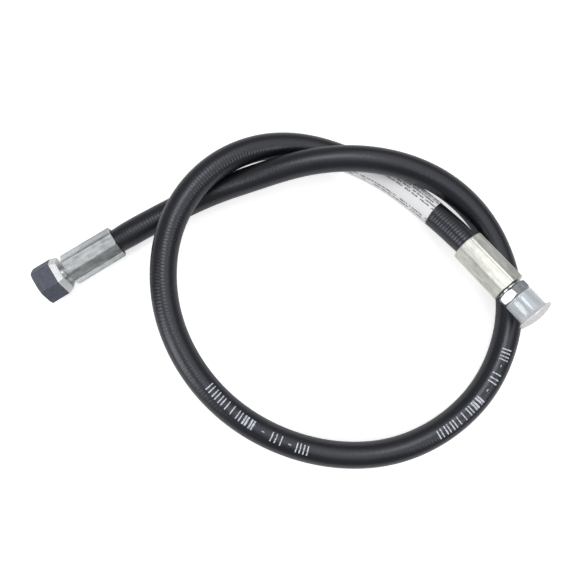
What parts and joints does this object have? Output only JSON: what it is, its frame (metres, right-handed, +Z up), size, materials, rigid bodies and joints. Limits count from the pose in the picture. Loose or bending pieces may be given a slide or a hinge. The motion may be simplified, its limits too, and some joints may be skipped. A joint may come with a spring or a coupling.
{
  "type": "hydraulic hose assembly",
  "caption": "Hydraulic hose lying in a loose loop, one wire braid under a rubber cover, with a crimped swivel-nut fitting at one end and a capped male cone fitting at the other.",
  "frame": {"origin": "on the table plane, under the centre of the whole assembly's box as the hose lies in its loop", "axes": "+Z up from the table; +X from the swivel-nut end towards the male end, along the longest extent; +Y away from the open side of the loop"},
  "size_m": [0.3398, 0.226, 0.0511],
  "materials": {
    "cover_rubber": "dark grey-black rubber with a fine wrapped-cloth texture, half matt",
    "braid_wire": "brass-coated steel wire, braided",
    "tube_rubber": "smooth black oil-resistant rubber",
    "label_film": "white self-adhesive label",
    "insert_steel": "turned steel, bright zinc plate",
    "ferrule_steel": "crimped steel, bright zinc plate",
    "nut_steel": "steel, bluish zinc plate",
    "seal_rubber": "black nitrile rubber",
    "cap_plastic": "milky translucent soft polyethylene"
  },
  "bodies": {
    "hose_assembly": {"hose_cover": "cover_rubber", "hose_wire_braid": "braid_wire", "hose_inner_tube": "tube_rubber", "hose_label": "label_film", "female_insert": "insert_steel", "female_ferrule": "ferrule_steel", "cone_o_ring": "seal_rubber", "male_insert": "insert_steel", "male_ferrule": "ferrule_steel"},
    "nut": {"swivel_nut": "nut_steel"},
    "cap": {"thread_cap": "cap_plastic"}
  },
  "joints": [
    {"name": "nut_swivel", "type": "hinge", "parent": "hose_assembly", "child": "nut", "pos_m": [-0.15601, 0.01227, 0.012], "axis": [-0.848, -0.5299, 0], "continuous": true},
    {"name": "cap_pull", "type": "slide", "parent": "hose_assembly", "child": "cap", "axis": [0.5907, -0.7698, 0.2419], "range_m": [0, 0.03]}
  ]
}
